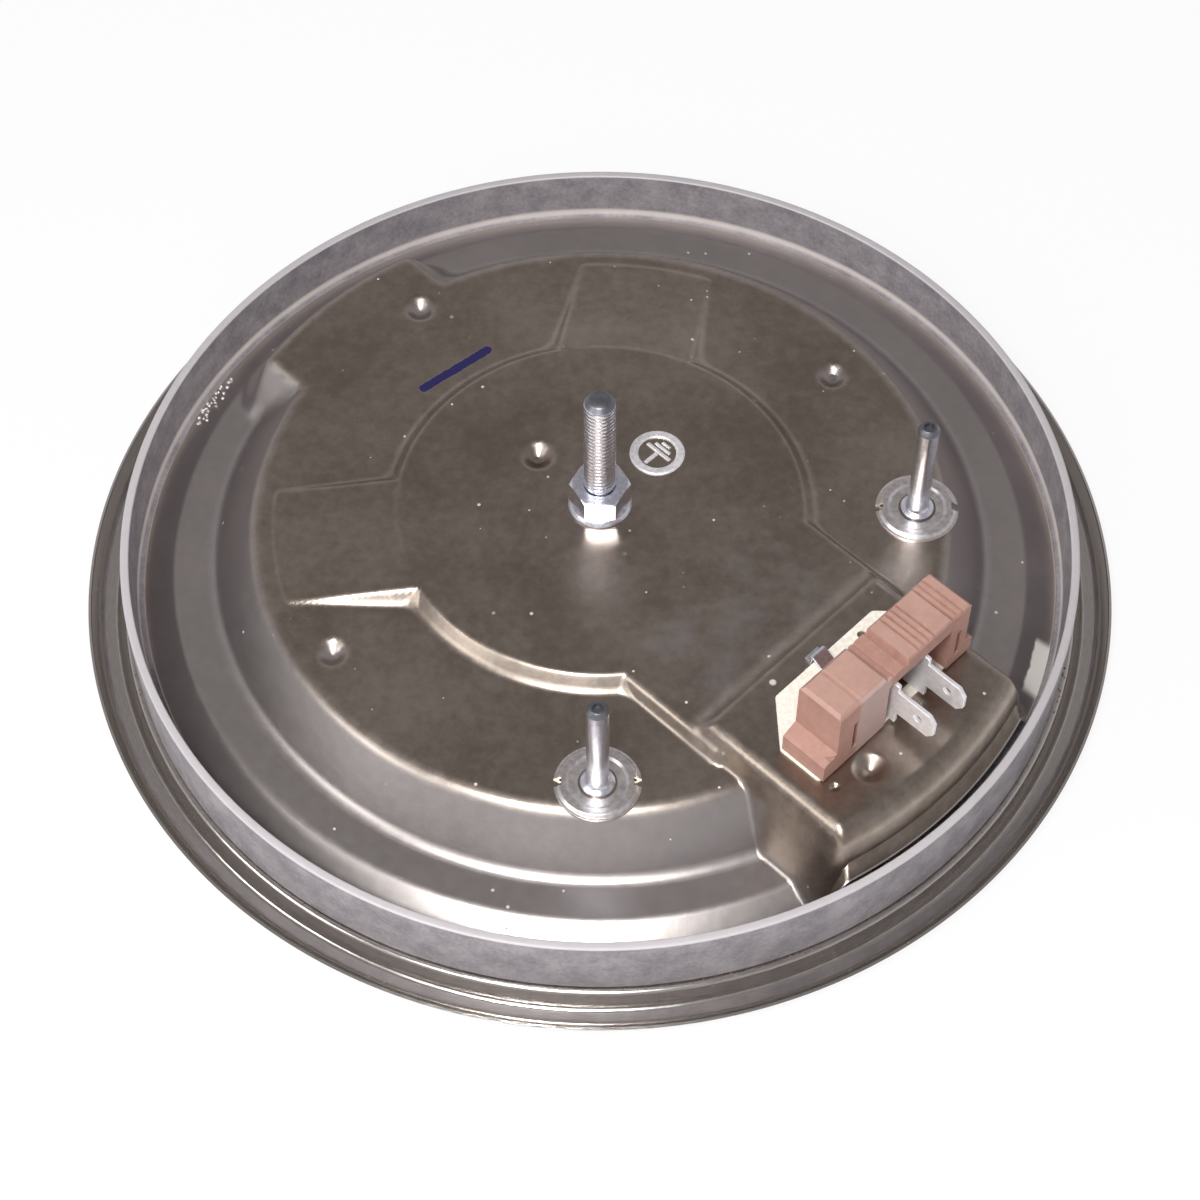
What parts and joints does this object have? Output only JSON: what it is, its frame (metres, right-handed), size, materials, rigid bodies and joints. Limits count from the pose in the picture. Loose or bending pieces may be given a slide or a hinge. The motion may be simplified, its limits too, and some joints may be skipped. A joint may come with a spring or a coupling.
{
  "type": "solid hotplate",
  "caption": "Sealed cast iron hotplate lying on its cooking face, with spill rim, pressed back cover, centre stud, locating pins and a ceramic terminal block with blade tabs.",
  "frame": {"origin": "centre of the cooking face, in its plane", "axes": "+Z from the cooking face up along the centre stud; the terminal block is 44.5 degrees from +X towards -Y"},
  "size_m": [0.1959, 0.196, 0.0563],
  "materials": {
    "cast_iron": "matt",
    "stainless": "polished",
    "cover_sheet": "satin",
    "zinc_steel": "bright",
    "tab_steel": "bright",
    "brown_ceramic": "matt",
    "white_ceramic": "matt",
    "insulating_sheet": "matt",
    "compound": "matt",
    "coil_wire": "dull",
    "bimetal": "satin",
    "lead_strip": "satin"
  },
  "bodies": {
    "root": {"plate_casting": "cast_iron", "overflow_rim": "stainless", "bottom_cover": "cover_sheet", "centre_stud": "zinc_steel", "centre_nut": "zinc_steel", "centre_washer": "zinc_steel", "pin_near": "zinc_steel", "pin_right": "zinc_steel", "pin_ring_near": "zinc_steel", "pin_ring_right": "zinc_steel", "terminal_block": "brown_ceramic", "tab_near": "tab_steel", "tab_far": "tab_steel", "block_gasket": "insulating_sheet", "retaining_clip": "zinc_steel", "coil_inner": "coil_wire", "coil_outer": "coil_wire", "embedding_mass": "compound", "coil_pin_inner": "lead_strip", "coil_pin_common": "lead_strip", "coil_pin_outer": "lead_strip", "bush_inner": "white_ceramic", "bush_common": "white_ceramic", "bush_outer": "white_ceramic", "protector_base": "white_ceramic", "protector_strip": "bimetal", "lead_common": "lead_strip", "lead_outer": "lead_strip", "lead_inner": "lead_strip", "lead_protector": "lead_strip"}
  },
  "joints": []
}
